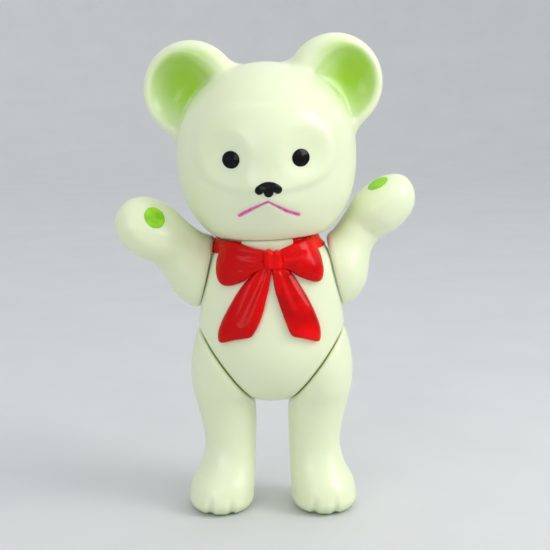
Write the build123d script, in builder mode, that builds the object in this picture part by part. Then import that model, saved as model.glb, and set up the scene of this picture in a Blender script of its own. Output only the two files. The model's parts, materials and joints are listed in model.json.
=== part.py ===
"""Soft-vinyl bear figure: a hollow torso with five round holes, and a head, two arms and two legs
that each plug into it with a beaded spigot. The raised bow and the painted features are solids of
their own. Millimetres, +Z up, the figure faces -Y, the origin is on the floor under its middle.
Left and right are the bear's own, so left is +X."""

import os
from math import cos, radians, sin

from build123d import *

os.makedirs("parts", exist_ok=True)

# Vinyl and joints
WALL = 2.5  # wall of every hollow casting
SEAT_GAP = 0.3  # between a limb's flat root and the torso's flat seat
RUNNING_GAP = 0.08  # radial, spigot in hole
BEAD_GAP = 0.2  # axial, bead behind the torso's wall
BEAD_STEP = 1.6  # how far a bead stands out past its spigot
BEAD_LENGTH = 2.4
PAINT = 0.6  # depth of a painted area, let into the vinyl
PROUD = 0.15  # how far paint stands out of the vinyl

# Head, in its own upright frame with the origin at its centre
HEAD_RADIUS = 44.0  # the head is round in plan
HEAD_TOP = 43.0
HEAD_BASE_RADIUS = 27.2
HEAD_DROP = 41.0  # from the head's centre down to its flat base
HEAD_Y = 1.0
NECK_LEAN = -2.5  # degrees about Y: the head leans to the bear's right
NECK_Z = 142.0
NECK_SPIGOT = 16.0

EAR_RADIUS = 23.4
EAR_X, EAR_Y, EAR_Z = 35.8, 5.0, 31.9
EAR_YAW = 12.0  # degrees outward
EYE_X, EYE_Z = 16.3, -0.5
EYE_RADIUS = 4.2
EYE_DOME_RADIUS = 9.0
EYE_PROUD = 1.5  # top of the dome above the socket's floor
EYE_ROOT = 2.7  # from the top of the dome down to its flat back
EYE_YAW = 14.0  # degrees outward
SOCKET_RADIUS = 16.0
SOCKET_DEPTH = 2.6
MUZZLE_RADIUS = 15.0
MUZZLE_Y, MUZZLE_Z = -30.0, -18.5
NOSE_TOP, NOSE_BOTTOM = -10.6, -18.0
NOSE_HALF_WIDTH = 6.2
MOUTH_PEAK_Z, MOUTH_END_X, MOUTH_END_Z = -20.0, 13.7, -27.0
MOUTH_STROKE = 1.6

# Torso, before its seats are cut: (height, half-width, half-depth, y of the centre)
TORSO_SECTIONS = (
    (56.5, 14.0, 13.9, 3.0),
    (60.0, 24.0, 22.0, 3.0),
    (67.0, 33.0, 28.0, 3.0),
    (78.0, 37.6, 31.0, 2.5),
    (92.0, 37.2, 31.6, 2.5),
    (105.0, 38.6, 30.4, 3.5),
    (119.0, 40.4, 28.8, 4.5),
    (131.0, 36.0, 27.0, 4.0),
    (139.0, 29.4, 26.4, 2.5),
    (147.0, 27.2, 26.2, 2.0),
)

# Arm: a flat root on the leaning seat, bending up in the XZ plane
SHOULDER = (31.7, 5.0, 121.0)
SHOULDER_LIFT = 13.0  # degrees of the seat's axis above horizontal
SHOULDER_SPIGOT = 8.0
ARM_ROOT_RADIUS = 17.4
# (x and z from the seat's centre, direction in degrees above +X, radius)
ARM_SECTIONS = (
    (5.2, 2.0, 20.0, 17.2),
    (9.7, 10.0, 44.0, 15.1),
    (15.2, 20.0, 57.0, 13.2),
    (21.2, 29.0, 52.0, 13.6),
    (26.5, 36.0, 48.0, 14.0),
)
PAW_RADIUS = 14.2
LEFT_ARM_TURN = 4.0  # degrees back from upright
RIGHT_ARM_TURN = -46.0  # forward from upright
PAD_RADIUS = 5.4
PAD_YAW, PAD_LIFT = 61.0, 58.0  # degrees: inward from straight ahead, and upward

# Leg: a flat root on the seat under the belly, turning down to the foot
HIP = (22.05, 3.0, 74.75)
HIP_DROP = 36.0  # degrees of the seat's axis below horizontal
HIP_SPIGOT = 12.0
# (height, x and y of the middle, half-width, half-depth), cut flat at the seat
LEG_SECTIONS = (
    (0.0, 26.2, -2.0, 12.6, 17.2),
    (2.6, 26.2, -2.0, 15.2, 19.8),
    (8.0, 26.0, -2.0, 15.7, 20.2),
    (16.0, 24.6, -1.0, 15.1, 18.0),
    (25.0, 22.3, 1.5, 13.4, 14.6),
    (34.5, 21.4, 2.5, 13.0, 13.4),
    (46.0, 22.3, 2.5, 14.1, 14.8),
    (55.0, 23.3, 3.0, 15.4, 17.0),
    (60.0, 22.7, 3.0, 17.0, 19.6),
    (66.0, 21.2, 3.0, 19.5, 22.3),
    (74.8, 20.0, 3.0, 21.0, 24.4),
    (84.0, 18.0, 3.0, 22.0, 24.8),
    (90.0, 15.0, 3.0, 23.7, 24.0),
    (97.0, 12.0, 3.0, 23.4, 23.6),
)
TOE_GROOVE_RADIUS = 1.3
TOE_GROOVE_TOP = 11.0
TOE_GROOVE_X = 5.2  # either side of the foot's middle

# Bow, raised on the chest
BOW_RELIEF = 2.6
KNOT_RELIEF = 4.4
RIBBON_RELIEF = 1.2
RIBBON_HEIGHT = 7.0
BOW_SIDE_GAP = 0.5  # kept back from the arms' seats
KNOT_Z = 133.5
KNOT_HALF_WIDTH = 4.6
KNOT_HALF_HEIGHT = 5.2
LOOP_OUT = 27.0
LOOP_TOP = 142.0
LOOP_BOTTOM = 121.0
TAIL_TIP_Z = 93.5
TAIL_OUT = 23.2


def ray(degrees):
    """Unit vector in the XZ plane, so many degrees above +X."""
    return Vector(cos(radians(degrees)), 0, sin(radians(degrees)))


def mirrored(vector):
    """The same point or direction on the bear's right side."""
    x, y, z = vector
    return Vector(-x, y, z)


def seat_plane(seat, out=0.0):
    """Plane of a flat seat, moved out along its axis."""
    centre, direction, _ = seat
    return Plane(Vector(*centre) + direction * out, x_dir=(0, 1, 0), z_dir=direction)


# Each seat: centre, direction away from the torso, spigot radius
NECK_SEAT = ((0, HEAD_Y, NECK_Z), ray(90 - NECK_LEAN), NECK_SPIGOT)
LEFT_SHOULDER_SEAT = (SHOULDER, ray(SHOULDER_LIFT), SHOULDER_SPIGOT)
RIGHT_SHOULDER_SEAT = (mirrored(SHOULDER), mirrored(ray(SHOULDER_LIFT)), SHOULDER_SPIGOT)
LEFT_HIP_SEAT = (HIP, ray(-HIP_DROP), HIP_SPIGOT)
RIGHT_HIP_SEAT = (mirrored(HIP), mirrored(ray(-HIP_DROP)), HIP_SPIGOT)
SHOULDER_SEATS = (LEFT_SHOULDER_SEAT, RIGHT_SHOULDER_SEAT)
SEATS = (NECK_SEAT, *SHOULDER_SEATS, LEFT_HIP_SEAT, RIGHT_HIP_SEAT)


def add_spigot(seat):
    """In the current limb: the beaded tube that passes into the torso, and its open bore."""
    radius = seat[2]
    shoulder = -(WALL + BEAD_GAP)
    tip = shoulder - BEAD_LENGTH
    top = SEAT_GAP + WALL / 2
    with BuildPart(mode=Mode.PRIVATE) as tube:
        with BuildSketch(Plane.XZ):
            with BuildLine():
                Polyline(
                    (0, top),
                    (radius, top),
                    (radius, shoulder),
                    (radius + BEAD_STEP, shoulder),
                    (radius + BEAD_STEP, shoulder - BEAD_LENGTH / 3),
                    (radius - WALL / 4, tip),
                    (0, tip),
                    close=True,
                )
            make_face()
        revolve(axis=Axis.Z)
    with Locations(seat_plane(seat).location):
        add(tube.part)
        Cylinder(radius - WALL, 6 * WALL, mode=Mode.SUBTRACT)


# ---------------------------------------------------------------- torso
def torso_form(inset=0.0):
    """The pear shape of the torso before its seats are cut. A negative inset grows it."""
    with BuildPart() as form:
        for index, (z, half_width, half_depth, y) in enumerate(TORSO_SECTIONS):
            height = z + inset if index == 0 else z
            with BuildSketch(Plane((0, y, height))):
                Ellipse(half_width - inset, half_depth - inset)
        loft()
    return form.part


TORSO_OUTSIDE = torso_form()


def seated_torso(form, inset=0.0):
    """A torso form cut flat at its five seats."""
    with BuildPart() as seated:
        add(form)
        for seat in SEATS:
            split(bisect_by=seat_plane(seat, -inset), keep=Keep.BOTTOM)
    return seated.part


with BuildPart() as torso_shell:
    add(seated_torso(TORSO_OUTSIDE))
    add(seated_torso(torso_form(WALL), WALL), mode=Mode.SUBTRACT)
    for seat in SEATS:
        with Locations(seat_plane(seat).location):
            Cylinder(seat[2] + RUNNING_GAP, 4 * WALL, mode=Mode.SUBTRACT)


# ---------------------------------------------------------------- bow
with BuildSketch() as knot_outline:
    with Locations((0.3, KNOT_Z)):
        RectangleRounded(2 * KNOT_HALF_WIDTH, 2 * KNOT_HALF_HEIGHT, 2.4)

with BuildSketch() as loop_outline:
    with BuildLine():
        edge = Spline(
            (KNOT_HALF_WIDTH, KNOT_Z + 3.6),
            (13.5, KNOT_Z + 6.0),
            (LOOP_OUT - 3.8, LOOP_TOP),
            (LOOP_OUT - 1.6, KNOT_Z + 3.0),
            (LOOP_OUT, LOOP_BOTTOM + 6.5),
            (LOOP_OUT - 4.0, LOOP_BOTTOM),
            (14.0, LOOP_BOTTOM + 3.0),
            (KNOT_HALF_WIDTH, KNOT_Z - 3.6),
        )
        Line(edge @ 1, edge @ 0)
    make_face()

with BuildSketch() as tail_outline:
    with BuildLine():
        Spline((1.2, KNOT_Z - 4.4), (4.4, 110.0), (9.8, TAIL_TIP_Z + 2.2))
        Line((9.8, TAIL_TIP_Z + 2.2), (TAIL_OUT, TAIL_TIP_Z))
        Spline((TAIL_OUT, TAIL_TIP_Z), (22.6, 104.0), (12.4, 122.0), (5.6, KNOT_Z - 4.4))
        Line((5.6, KNOT_Z - 4.4), (1.2, KNOT_Z - 4.4))
    make_face()


def chest_relief(outline, skin, side=1):
    """The part of a grown torso form that stands out of the chest inside an XZ outline."""
    with BuildPart() as slab:
        with BuildSketch(Plane.XZ):
            if side > 0:
                add(outline.sketch)
            else:
                add(mirror(outline.sketch, about=Plane.YZ))
        extrude(amount=2 * HEAD_RADIUS)
        add(skin, mode=Mode.INTERSECT)
        add(TORSO_OUTSIDE, mode=Mode.SUBTRACT)
        for seat in SHOULDER_SEATS:
            split(bisect_by=seat_plane(seat, -BOW_SIDE_GAP), keep=Keep.BOTTOM)
        split(bisect_by=seat_plane(NECK_SEAT), keep=Keep.BOTTOM)
    return slab.part


BOW_SKIN = torso_form(-BOW_RELIEF)

with BuildPart() as bow_knot:
    add(chest_relief(knot_outline, torso_form(-KNOT_RELIEF)))

bow_loops = {}
bow_tails = {}
for side_name, side in (("left", 1), ("right", -1)):
    with BuildPart() as loop:
        add(chest_relief(loop_outline, BOW_SKIN, side))
        add(bow_knot.part, mode=Mode.SUBTRACT)
    bow_loops[side_name] = loop
    with BuildPart() as tail:
        add(chest_relief(tail_outline, BOW_SKIN, side))
        add(bow_knot.part, mode=Mode.SUBTRACT)
        add(loop.part, mode=Mode.SUBTRACT)
    bow_tails[side_name] = tail

# The ribbon goes right round the neck and passes under the bow.
with BuildPart() as neck_ribbon:
    with BuildSketch(Plane.XY.offset(NECK_Z - RIBBON_HEIGHT)):
        Rectangle(4 * LOOP_OUT, 4 * LOOP_OUT)
    extrude(amount=2 * RIBBON_HEIGHT)
    add(torso_form(-RIBBON_RELIEF), mode=Mode.INTERSECT)
    add(TORSO_OUTSIDE, mode=Mode.SUBTRACT)
    for seat in SHOULDER_SEATS:
        split(bisect_by=seat_plane(seat, -BOW_SIDE_GAP), keep=Keep.BOTTOM)
    split(bisect_by=seat_plane(NECK_SEAT), keep=Keep.BOTTOM)
    for crossing in (bow_knot, *bow_loops.values()):
        add(crossing.part, mode=Mode.SUBTRACT)


# ---------------------------------------------------------------- head
def head_ball(growth=0.0):
    """The head's ball with its flat base, grown or shrunk a little about its centre."""
    ratio = 1 + growth / HEAD_RADIUS
    profile = (
        (0, HEAD_TOP),
        (20.5, 38.2),
        (36.6, 24.4),
        (HEAD_RADIUS, 0),
        (41.8, -19.8),
        (37.0, -29.8),
        (HEAD_BASE_RADIUS, -HEAD_DROP),
    )
    with BuildPart() as ball:
        with BuildSketch(Plane.XZ):
            with BuildLine():
                outline = Spline(
                    *((x * ratio, z * ratio) for x, z in profile),
                    tangents=((1, 0), (-0.8, -0.6)),
                )
                Polyline(outline @ 1, (0, (outline @ 1).Y), outline @ 0)
            make_face()
        revolve(axis=Axis.Z)
    return ball.part


def face_form(growth=0.0):
    """Head ball with the low swelling that carries the nose and the mouth."""
    with BuildPart() as form:
        add(head_ball(growth))
        with Locations((0, MUZZLE_Y, MUZZLE_Z)):
            Sphere(MUZZLE_RADIUS + growth)
    return form.part


def eye_plane(side, out=0.0):
    """Plane square to the eye's outward direction, out from the unhollowed face."""
    outward = Vector(side * sin(radians(EYE_YAW)), -cos(radians(EYE_YAW)), 0)
    face_y = -((HEAD_RADIUS**2 - EYE_X**2) ** 0.5)
    centre = Vector(side * EYE_X, face_y, EYE_Z) + outward * out
    return Plane(centre, x_dir=(0, 0, 1), z_dir=outward)


def ear_bowl(side):
    """A round cupped ear, a bowl of revolution that opens forward and a little outward."""
    with BuildPart() as bowl:
        with BuildSketch(Plane.XZ):
            with BuildLine():
                Spline(
                    (0, -8.5),
                    (12.5, -6.8),
                    (EAR_RADIUS - 2.8, -1.6),
                    (EAR_RADIUS, 3.4),
                    tangents=((1, 0), (0.2, 1)),
                )
                ThreePointArc(
                    (EAR_RADIUS, 3.4), (EAR_RADIUS - 1.8, 5.9), (EAR_RADIUS - 4.6, 4.6)
                )
                Spline(
                    (EAR_RADIUS - 4.6, 4.6),
                    (10.0, -1.0),
                    (0, -3.0),
                    tangents=((-0.7, -1), (-1, 0)),
                )
                Line((0, -3.0), (0, -8.5))
            make_face()
        revolve(axis=Axis.Z)
    opening = Vector(side * sin(radians(EAR_YAW)), -cos(radians(EAR_YAW)), 0)
    place = Plane((side * EAR_X, EAR_Y, EAR_Z), x_dir=(0, 0, 1), z_dir=opening)
    return place.location * bowl.part


def face_paint(outline):
    """A painted area on the front of the head, inside an outline on the XZ plane."""
    with BuildPart() as film:
        with BuildSketch(Plane.XZ):
            add(outline.sketch)
        extrude(amount=2 * HEAD_RADIUS)
        add(FACE_OVER, mode=Mode.INTERSECT)
        add(FACE_UNDER, mode=Mode.SUBTRACT)
    return film.part


FACE_OVER = face_form(PROUD)
FACE_UNDER = face_form(-PAINT)
HEAD_LOCATION = seat_plane(NECK_SEAT, SEAT_GAP + HEAD_DROP).location * Location((0, 0, 0), (0, 0, -90))

with BuildSketch() as nose_outline:
    with BuildLine():
        Spline(
            (0, NOSE_TOP),
            (NOSE_HALF_WIDTH * 0.75, NOSE_TOP - 1.2),
            (NOSE_HALF_WIDTH, NOSE_TOP - 3.8),
            (NOSE_HALF_WIDTH * 0.7, NOSE_BOTTOM + 1.2),
            (0, NOSE_BOTTOM),
            (-NOSE_HALF_WIDTH * 0.7, NOSE_BOTTOM + 1.2),
            (-NOSE_HALF_WIDTH, NOSE_TOP - 3.8),
            (-NOSE_HALF_WIDTH * 0.75, NOSE_TOP - 1.2),
            periodic=True,
        )
    make_face()

with BuildSketch() as mouth_outline:
    with BuildLine() as mouth_path:
        Spline(
            (-MOUTH_END_X, MOUTH_END_Z),
            (-MOUTH_END_X / 2, (MOUTH_PEAK_Z + MOUTH_END_Z) / 2 + 0.8),
            (0, MOUTH_PEAK_Z),
        )
        Spline(
            (0, MOUTH_PEAK_Z),
            (MOUTH_END_X / 2, (MOUTH_PEAK_Z + MOUTH_END_Z) / 2 + 0.8),
            (MOUTH_END_X, MOUTH_END_Z),
        )
    trace(line_width=MOUTH_STROKE)

with BuildPart() as nose:
    add(HEAD_LOCATION * face_paint(nose_outline))

with BuildPart() as mouth_line:
    add(HEAD_LOCATION * face_paint(mouth_outline))

eyes = {}
for side_name, side in (("left", 1), ("right", -1)):
    eye_location = HEAD_LOCATION * eye_plane(side, EYE_PROUD - SOCKET_DEPTH).location
    with BuildPart() as eye:
        with Locations(eye_location):
            Cylinder(EYE_RADIUS, 2 * EYE_ROOT)
        with Locations(eye_location * Location((0, 0, -EYE_DOME_RADIUS))):
            Sphere(EYE_DOME_RADIUS, mode=Mode.INTERSECT)
    eyes[side_name] = eye

socket_ball = (SOCKET_RADIUS**2 + SOCKET_DEPTH**2) / (2 * SOCKET_DEPTH)

with BuildPart() as head_outside:
    add(face_form())
    for side in (1, -1):
        add(ear_bowl(side))
    for side in (1, -1):
        with Locations(eye_plane(side, socket_ball - SOCKET_DEPTH).location):
            Sphere(socket_ball, mode=Mode.SUBTRACT)

with BuildPart() as head_inside:
    add(head_ball(-WALL))
    split(bisect_by=Plane.XY.offset(WALL - HEAD_DROP), keep=Keep.TOP)
    for side in (1, -1):
        with Locations(eye_plane(side, socket_ball - SOCKET_DEPTH).location):
            Sphere(socket_ball + WALL, mode=Mode.SUBTRACT)

with BuildPart() as head_shell:
    add(HEAD_LOCATION * head_outside.part)
    add(HEAD_LOCATION * head_inside.part, mode=Mode.SUBTRACT)
    add_spigot(NECK_SEAT)
    for inlay in (nose, mouth_line, *eyes.values()):
        add(inlay.part, mode=Mode.SUBTRACT)


# ---------------------------------------------------------------- arms
def arm_form(inset=0.0):
    """The left arm, hanging straight up in the XZ plane. A negative inset grows it."""
    x_dir = (0, 1, 0)
    root = seat_plane(LEFT_SHOULDER_SEAT, SEAT_GAP + max(inset, 0.0))
    with BuildPart() as form:
        with BuildSketch(root):
            Circle(ARM_ROOT_RADIUS - inset)
        for x, z, direction, radius in ARM_SECTIONS:
            centre = Vector(*SHOULDER) + Vector(x, 0, z)
            with BuildSketch(Plane(centre, x_dir=x_dir, z_dir=ray(direction))):
                Circle(radius - inset)
        loft()
        with Locations(centre):
            Sphere(PAW_RADIUS - inset)
    return form.part


PAW_CENTRE = Vector(*SHOULDER) + Vector(ARM_SECTIONS[-1][0], 0, ARM_SECTIONS[-1][1])
pad_direction = Vector(-sin(radians(PAD_YAW)), -cos(radians(PAD_YAW)), 0) * cos(radians(PAD_LIFT))
pad_direction += Vector(0, 0, sin(radians(PAD_LIFT)))

with BuildPart() as pad:
    with BuildSketch(Plane(PAW_CENTRE, z_dir=pad_direction)):
        Circle(PAD_RADIUS)
    extrude(amount=2 * PAW_RADIUS)
    add(arm_form(-PROUD), mode=Mode.INTERSECT)
    add(arm_form(PAINT), mode=Mode.SUBTRACT)

with BuildPart() as upright_arm:
    add(arm_form())
    add(arm_form(WALL), mode=Mode.SUBTRACT)
    add_spigot(LEFT_SHOULDER_SEAT)
    add(pad.part, mode=Mode.SUBTRACT)

left_axis = Axis(SHOULDER, ray(SHOULDER_LIFT))
arms = {}
palm_pads = {}
for side_name, turn in (("left", LEFT_ARM_TURN), ("right", RIGHT_ARM_TURN)):
    placed = []
    for piece in (upright_arm.part, pad.part):
        turned = piece.rotate(left_axis, -turn)
        placed.append(turned if side_name == "left" else mirror(turned, about=Plane.YZ))
    with BuildPart() as arm:
        add(placed[0])
    arms[side_name] = arm
    with BuildPart() as palm_pad:
        add(placed[1])
    palm_pads[side_name] = palm_pad


# ---------------------------------------------------------------- legs
def leg_form(inset=0.0):
    """The left leg and foot."""
    with BuildPart() as form:
        for z, x, y, half_width, half_depth in LEG_SECTIONS:
            if z >= inset:
                with BuildSketch(Plane((x, y, z))):
                    Ellipse(half_width - inset, half_depth - inset)
        loft()
        split(bisect_by=seat_plane(LEFT_HIP_SEAT, SEAT_GAP + inset), keep=Keep.TOP)
    return form.part


_, foot_x, foot_y, foot_half_width, foot_half_depth = LEG_SECTIONS[2]
groove_y = foot_y - foot_half_depth * (1 - (TOE_GROOVE_X / foot_half_width) ** 2) ** 0.5

with BuildPart() as left_leg:
    add(leg_form())
    for offset in (-TOE_GROOVE_X, TOE_GROOVE_X):
        with Locations((foot_x + offset, groove_y, 0)):
            Cylinder(TOE_GROOVE_RADIUS, 2 * TOE_GROOVE_TOP, mode=Mode.SUBTRACT)
    add(leg_form(WALL), mode=Mode.SUBTRACT)
    add_spigot(LEFT_HIP_SEAT)

with BuildPart() as right_leg:
    add(mirror(left_leg.part, about=Plane.YZ))


# ---------------------------------------------------------------- out
pieces = {
    "torso_shell": torso_shell,
    "head_shell": head_shell,
    "left_arm": arms["left"],
    "right_arm": arms["right"],
    "left_leg": left_leg,
    "right_leg": right_leg,
    "left_eye": eyes["left"],
    "right_eye": eyes["right"],
    "nose": nose,
    "mouth_line": mouth_line,
    "left_palm_pad": palm_pads["left"],
    "right_palm_pad": palm_pads["right"],
    "bow_knot": bow_knot,
    "left_bow_loop": bow_loops["left"],
    "right_bow_loop": bow_loops["right"],
    "left_bow_tail": bow_tails["left"],
    "right_bow_tail": bow_tails["right"],
    "neck_ribbon": neck_ribbon,
}
for label, piece in pieces.items():
    piece.part.label = label
    export_step(piece.part, f"parts/{label}.step")
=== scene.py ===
"""Blender model of the soft-vinyl bear figure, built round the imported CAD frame.

Every shell is a smooth distance field in millimetres, meshed here and placed where the frame's
joints are. Painted and raised features are thin pieces that follow the same fields."""

import json
from functools import partial
from math import cos, radians, sin

import bpy
import numpy as np
from mathutils import Matrix, Vector


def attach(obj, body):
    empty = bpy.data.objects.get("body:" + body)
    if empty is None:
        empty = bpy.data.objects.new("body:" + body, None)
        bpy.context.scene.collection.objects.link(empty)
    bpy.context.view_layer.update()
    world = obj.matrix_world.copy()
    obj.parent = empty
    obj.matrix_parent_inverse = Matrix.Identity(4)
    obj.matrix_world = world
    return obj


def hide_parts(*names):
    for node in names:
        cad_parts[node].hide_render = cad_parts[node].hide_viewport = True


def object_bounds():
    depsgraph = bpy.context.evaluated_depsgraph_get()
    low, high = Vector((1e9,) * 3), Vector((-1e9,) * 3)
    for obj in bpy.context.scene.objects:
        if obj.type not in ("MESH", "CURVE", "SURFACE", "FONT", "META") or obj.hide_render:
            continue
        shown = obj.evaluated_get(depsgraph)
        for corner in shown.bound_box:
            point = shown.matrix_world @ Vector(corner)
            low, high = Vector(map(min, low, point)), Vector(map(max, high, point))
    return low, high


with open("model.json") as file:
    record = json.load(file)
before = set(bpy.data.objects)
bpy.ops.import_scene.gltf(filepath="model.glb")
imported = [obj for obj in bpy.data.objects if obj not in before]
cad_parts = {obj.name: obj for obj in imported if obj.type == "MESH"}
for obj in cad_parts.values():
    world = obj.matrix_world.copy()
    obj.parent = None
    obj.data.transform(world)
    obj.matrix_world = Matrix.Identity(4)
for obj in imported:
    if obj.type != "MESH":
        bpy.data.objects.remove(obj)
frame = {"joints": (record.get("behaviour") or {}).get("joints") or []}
cad_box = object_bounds()

MM = 0.001
JOINTS = {joint["name"]: joint for joint in frame["joints"]}


# ---------------------------------------------------------------- fields
def unit(vector):
    vector = np.asarray(vector, dtype=float)
    return vector / np.linalg.norm(vector)


def joint_point(name):
    return np.array(JOINTS[name]["pos_m"]) / MM


def joint_axis(name):
    return unit(JOINTS[name]["axis"])


def smooth_min(a, b, k):
    """Union of two fields with a fillet about k wide."""
    h = np.maximum(k - np.abs(a - b), 0.0) / k
    return np.minimum(a, b) - h * h * k / 4


def smooth_max(a, b, k):
    """Intersection of two fields with a rounded edge about k wide."""
    return -smooth_min(-a, -b, k)


def ease(t):
    """0 below 0, 1 above 1 and smooth between."""
    t = np.clip(t, 0.0, 1.0)
    return t * t * (3 - 2 * t)


def bump(r):
    """1 at r = 0, falling smoothly to 0 at r = 1."""
    return np.clip(1 - r * r, 0.0, 1.0) ** 2


def ellipsoid(p, centre, axes):
    q = p - np.asarray(centre)
    a = np.asarray(axes, dtype=float)
    k0 = np.linalg.norm(q / a, axis=1)
    k1 = np.linalg.norm(q / (a * a), axis=1)
    return k0 * (k0 - 1) / np.maximum(k1, 1e-9)


def curve_through(points, count):
    """A smooth curve through rows of numbers, as that many rows."""
    rows = np.asarray(points, dtype=float)
    padded = np.vstack([2 * rows[0] - rows[1], rows, 2 * rows[-1] - rows[-2]])
    at = np.linspace(0, len(rows) - 1, count)
    index = np.minimum(at.astype(int), len(rows) - 2)
    t = (at - index)[:, None]
    p0, p1, p2, p3 = (padded[index + shift] for shift in range(4))
    linear = (p2 - p0) * t
    square = (2 * p0 - 5 * p1 + 4 * p2 - p3) * t**2
    cube = (3 * p1 - p0 - 3 * p2 + p3) * t**3
    return p1 + (linear + square + cube) / 2


def swept(p, path):
    """Round body along a path of rows (x, y, z, radius)."""
    best = np.full(len(p), np.inf)
    for start, end in zip(path[:-1], path[1:]):
        along = end[:3] - start[:3]
        t = np.clip((p - start[:3]) @ along / (along @ along), 0.0, 1.0)
        gap = np.linalg.norm(p - start[:3] - t[:, None] * along, axis=1)
        best = np.minimum(best, gap - start[3] - t * (end[3] - start[3]))
    return best


def stacked(p, sections, power=2.0):
    """Body of level ellipses between rows (z, x, y, half-width, half-depth)."""
    dense = curve_through(sections, 12 * len(sections))
    order = np.argsort(dense[:, 0])
    z = dense[order, 0]
    x, y, half_width, half_depth = (np.interp(p[:, 2], z, dense[order, i]) for i in range(1, 5))
    across = np.abs((p[:, 0] - x) / half_width) ** power
    deep = np.abs((p[:, 1] - y) / half_depth) ** power
    ring = (across + deep) ** (1 / power)
    return (ring - 1) * np.minimum(half_width, half_depth)


def plane(p, point, normal):
    """Positive on the side the normal points to."""
    return (p - np.asarray(point)) @ np.asarray(normal)


def segment_2d(x, z, start, end):
    """(distance to a segment on the XZ plane, how far along it from 0 to 1)"""
    (x0, z0), (x1, z1) = start, end
    dx, dz = x1 - x0, z1 - z0
    t = np.clip(((x - x0) * dx + (z - z0) * dz) / (dx * dx + dz * dz), 0.0, 1.0)
    return np.hypot(x - x0 - t * dx, z - z0 - t * dz), t


def outline_2d(x, z, corners):
    """Signed distance to a closed outline on the XZ plane, negative inside."""
    inside = np.zeros(len(x), dtype=bool)
    nearest = np.full(len(x), np.inf)
    for (x0, z0), (x1, z1) in zip(corners, np.roll(corners, -1, axis=0)):
        nearest = np.minimum(nearest, segment_2d(x, z, (x0, z0), (x1, z1))[0])
        if z0 != z1:
            crosses = (z0 > z) != (z1 > z)
            inside ^= crosses & (x < x0 + (z - z0) * (x1 - x0) / (z1 - z0))
    return np.where(inside, -nearest, nearest)


# ---------------------------------------------------------------- meshing
def evaluate(field, points, batch=200000):
    parts = [field(points[i : i + batch]) for i in range(0, len(points), batch)]
    return np.concatenate(parts)


def sample_grid(field, low, step, counts, coarse=4):
    """Field values on a grid, worked out finely only near the surface."""
    blocks = (np.array(counts) + coarse - 1) // coarse + 1
    corners = np.stack(np.meshgrid(*(np.arange(n) for n in blocks), indexing="ij"), axis=-1)
    rough = evaluate(field, (low + corners.reshape(-1, 3) * step * coarse)).reshape(blocks)
    near = np.abs(rough) < 2.2 * step * coarse
    wide = near.copy()
    for axis in range(3):
        for shift in (1, -1):
            wide |= np.roll(near, shift, axis)
    values = rough
    for axis in range(3):
        values = np.repeat(values, coarse, axis)
        wide = np.repeat(wide, coarse, axis)
    values = values[: counts[0], : counts[1], : counts[2]].copy()
    wide = wide[: counts[0], : counts[1], : counts[2]]
    index = np.argwhere(wide)
    values[tuple(index.T)] = evaluate(field, low + index * step)
    return values


def surface_nets(values):
    """Points in grid units and four-cornered faces of the surface where values cross zero."""
    inside = values < 0
    cells = np.array(values.shape) - 1
    total = np.zeros((*cells, 3))
    count = np.zeros(cells)
    faces = []
    ids = np.arange(np.prod(cells)).reshape(cells)
    for axis in range(3):
        b, c = (axis + 1) % 3, (axis + 2) % 3
        lower = np.take(values, np.arange(values.shape[axis] - 1), axis)
        upper = np.take(values, np.arange(1, values.shape[axis]), axis)
        cross = (lower < 0) != (upper < 0)
        at = np.argwhere(cross)
        v0, v1 = lower[cross], upper[cross]
        point = at.astype(float)
        point[:, axis] += v0 / (v0 - v1)
        ring = []
        for db, dc in ((-1, -1), (0, -1), (0, 0), (-1, 0)):
            cell = at.copy()
            cell[:, b] += db
            cell[:, c] += dc
            good = np.all((cell >= 0) & (cell < cells), axis=1)
            np.add.at(total, tuple(cell[good].T), point[good])
            np.add.at(count, tuple(cell[good].T), 1)
            ring.append(np.where(good, ids[tuple(np.clip(cell, 0, cells - 1).T)], -1))
        ring = np.stack(ring, axis=1)
        flip = v0 > 0
        ring[flip] = ring[flip][:, ::-1]
        faces.append(ring[(ring >= 0).all(axis=1)])
    faces = np.concatenate(faces)
    used = np.flatnonzero(count.ravel() > 0)
    remap = np.full(count.size, -1)
    remap[used] = np.arange(len(used))
    points = total.reshape(-1, 3)[used] / count.ravel()[used][:, None]
    return points, remap[faces]


def gradient(field, points, reach=0.05):
    slopes = []
    for axis in range(3):
        shift = np.zeros(3)
        shift[axis] = reach
        slopes.append((evaluate(field, points + shift) - evaluate(field, points - shift)) / (2 * reach))
    return np.stack(slopes, axis=1)


def settle(field, points, rounds=2, limit=1.0):
    """Moves points straight on to the surface."""
    for _ in range(rounds):
        slope = gradient(field, points)
        move = evaluate(field, points) / np.maximum((slope**2).sum(axis=1), 0.05)
        points = points - np.clip(move[:, None] * slope, -limit, limit)
    return points


def field_mesh(field, low, high, step, relax=3):
    """Even, smooth mesh of the surface where the field is zero."""
    low = np.asarray(low, dtype=float)
    counts = np.ceil((np.asarray(high) - low) / step).astype(int) + 1
    points, faces = surface_nets(sample_grid(field, low, step, counts))
    points = low + points * step
    points = settle(field, points, 1, step)
    for _ in range(relax):
        middle = points[faces].mean(axis=1)
        total = np.zeros_like(points)
        count = np.zeros(len(points))
        for corner in range(4):
            np.add.at(total, faces[:, corner], middle)
            np.add.at(count, faces[:, corner], 1)
        points = 0.4 * points + 0.6 * total / count[:, None]
        points = settle(field, points, 1, step)
    return settle(field, points, 1, step), faces


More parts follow.
